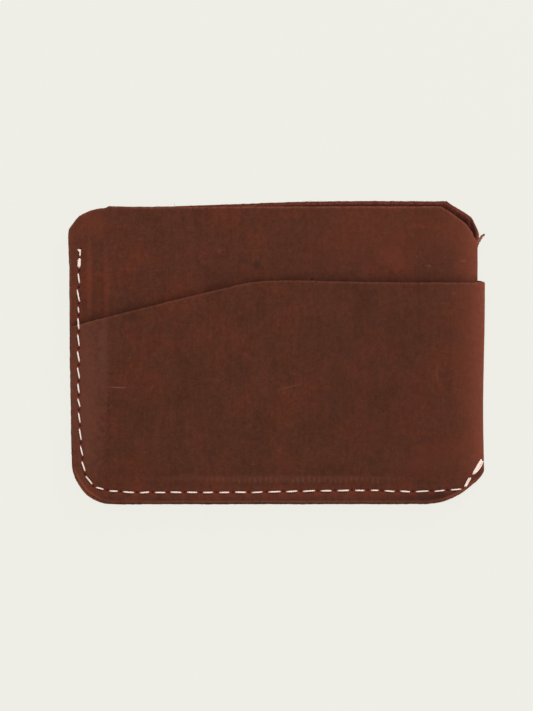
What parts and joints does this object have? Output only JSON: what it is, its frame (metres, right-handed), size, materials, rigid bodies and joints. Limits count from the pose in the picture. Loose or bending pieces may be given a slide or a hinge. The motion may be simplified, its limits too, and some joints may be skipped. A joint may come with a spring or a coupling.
{
  "type": "minimalist wallet",
  "caption": "Flat leather card wallet: a folded sleeve inside a lower folded wrap, lockstitched along the raw side and the bottom, with a centre, a front and a back pocket.",
  "frame": {"origin": "under the middle of the wallet, on the plane its back rests on", "axes": "+X towards the folded side, +Y towards the pocket mouths, +Z from the back to the front"},
  "size_m": [0.1016, 0.0738, 0.0083],
  "materials": {
    "sleeve_leather": "matte oiled nubuck leather, dark red brown, lighter where it is folded or rubbed",
    "wrap_leather": "matte oiled nubuck leather, dark red brown, lighter at the fold and the raw rims",
    "seam_thread": "waxed off-white sewing thread"
  },
  "bodies": {
    "root": {"inner_sleeve": "sleeve_leather", "outer_wrap": "wrap_leather", "needle_thread": "seam_thread", "bobbin_thread": "seam_thread"}
  },
  "joints": []
}
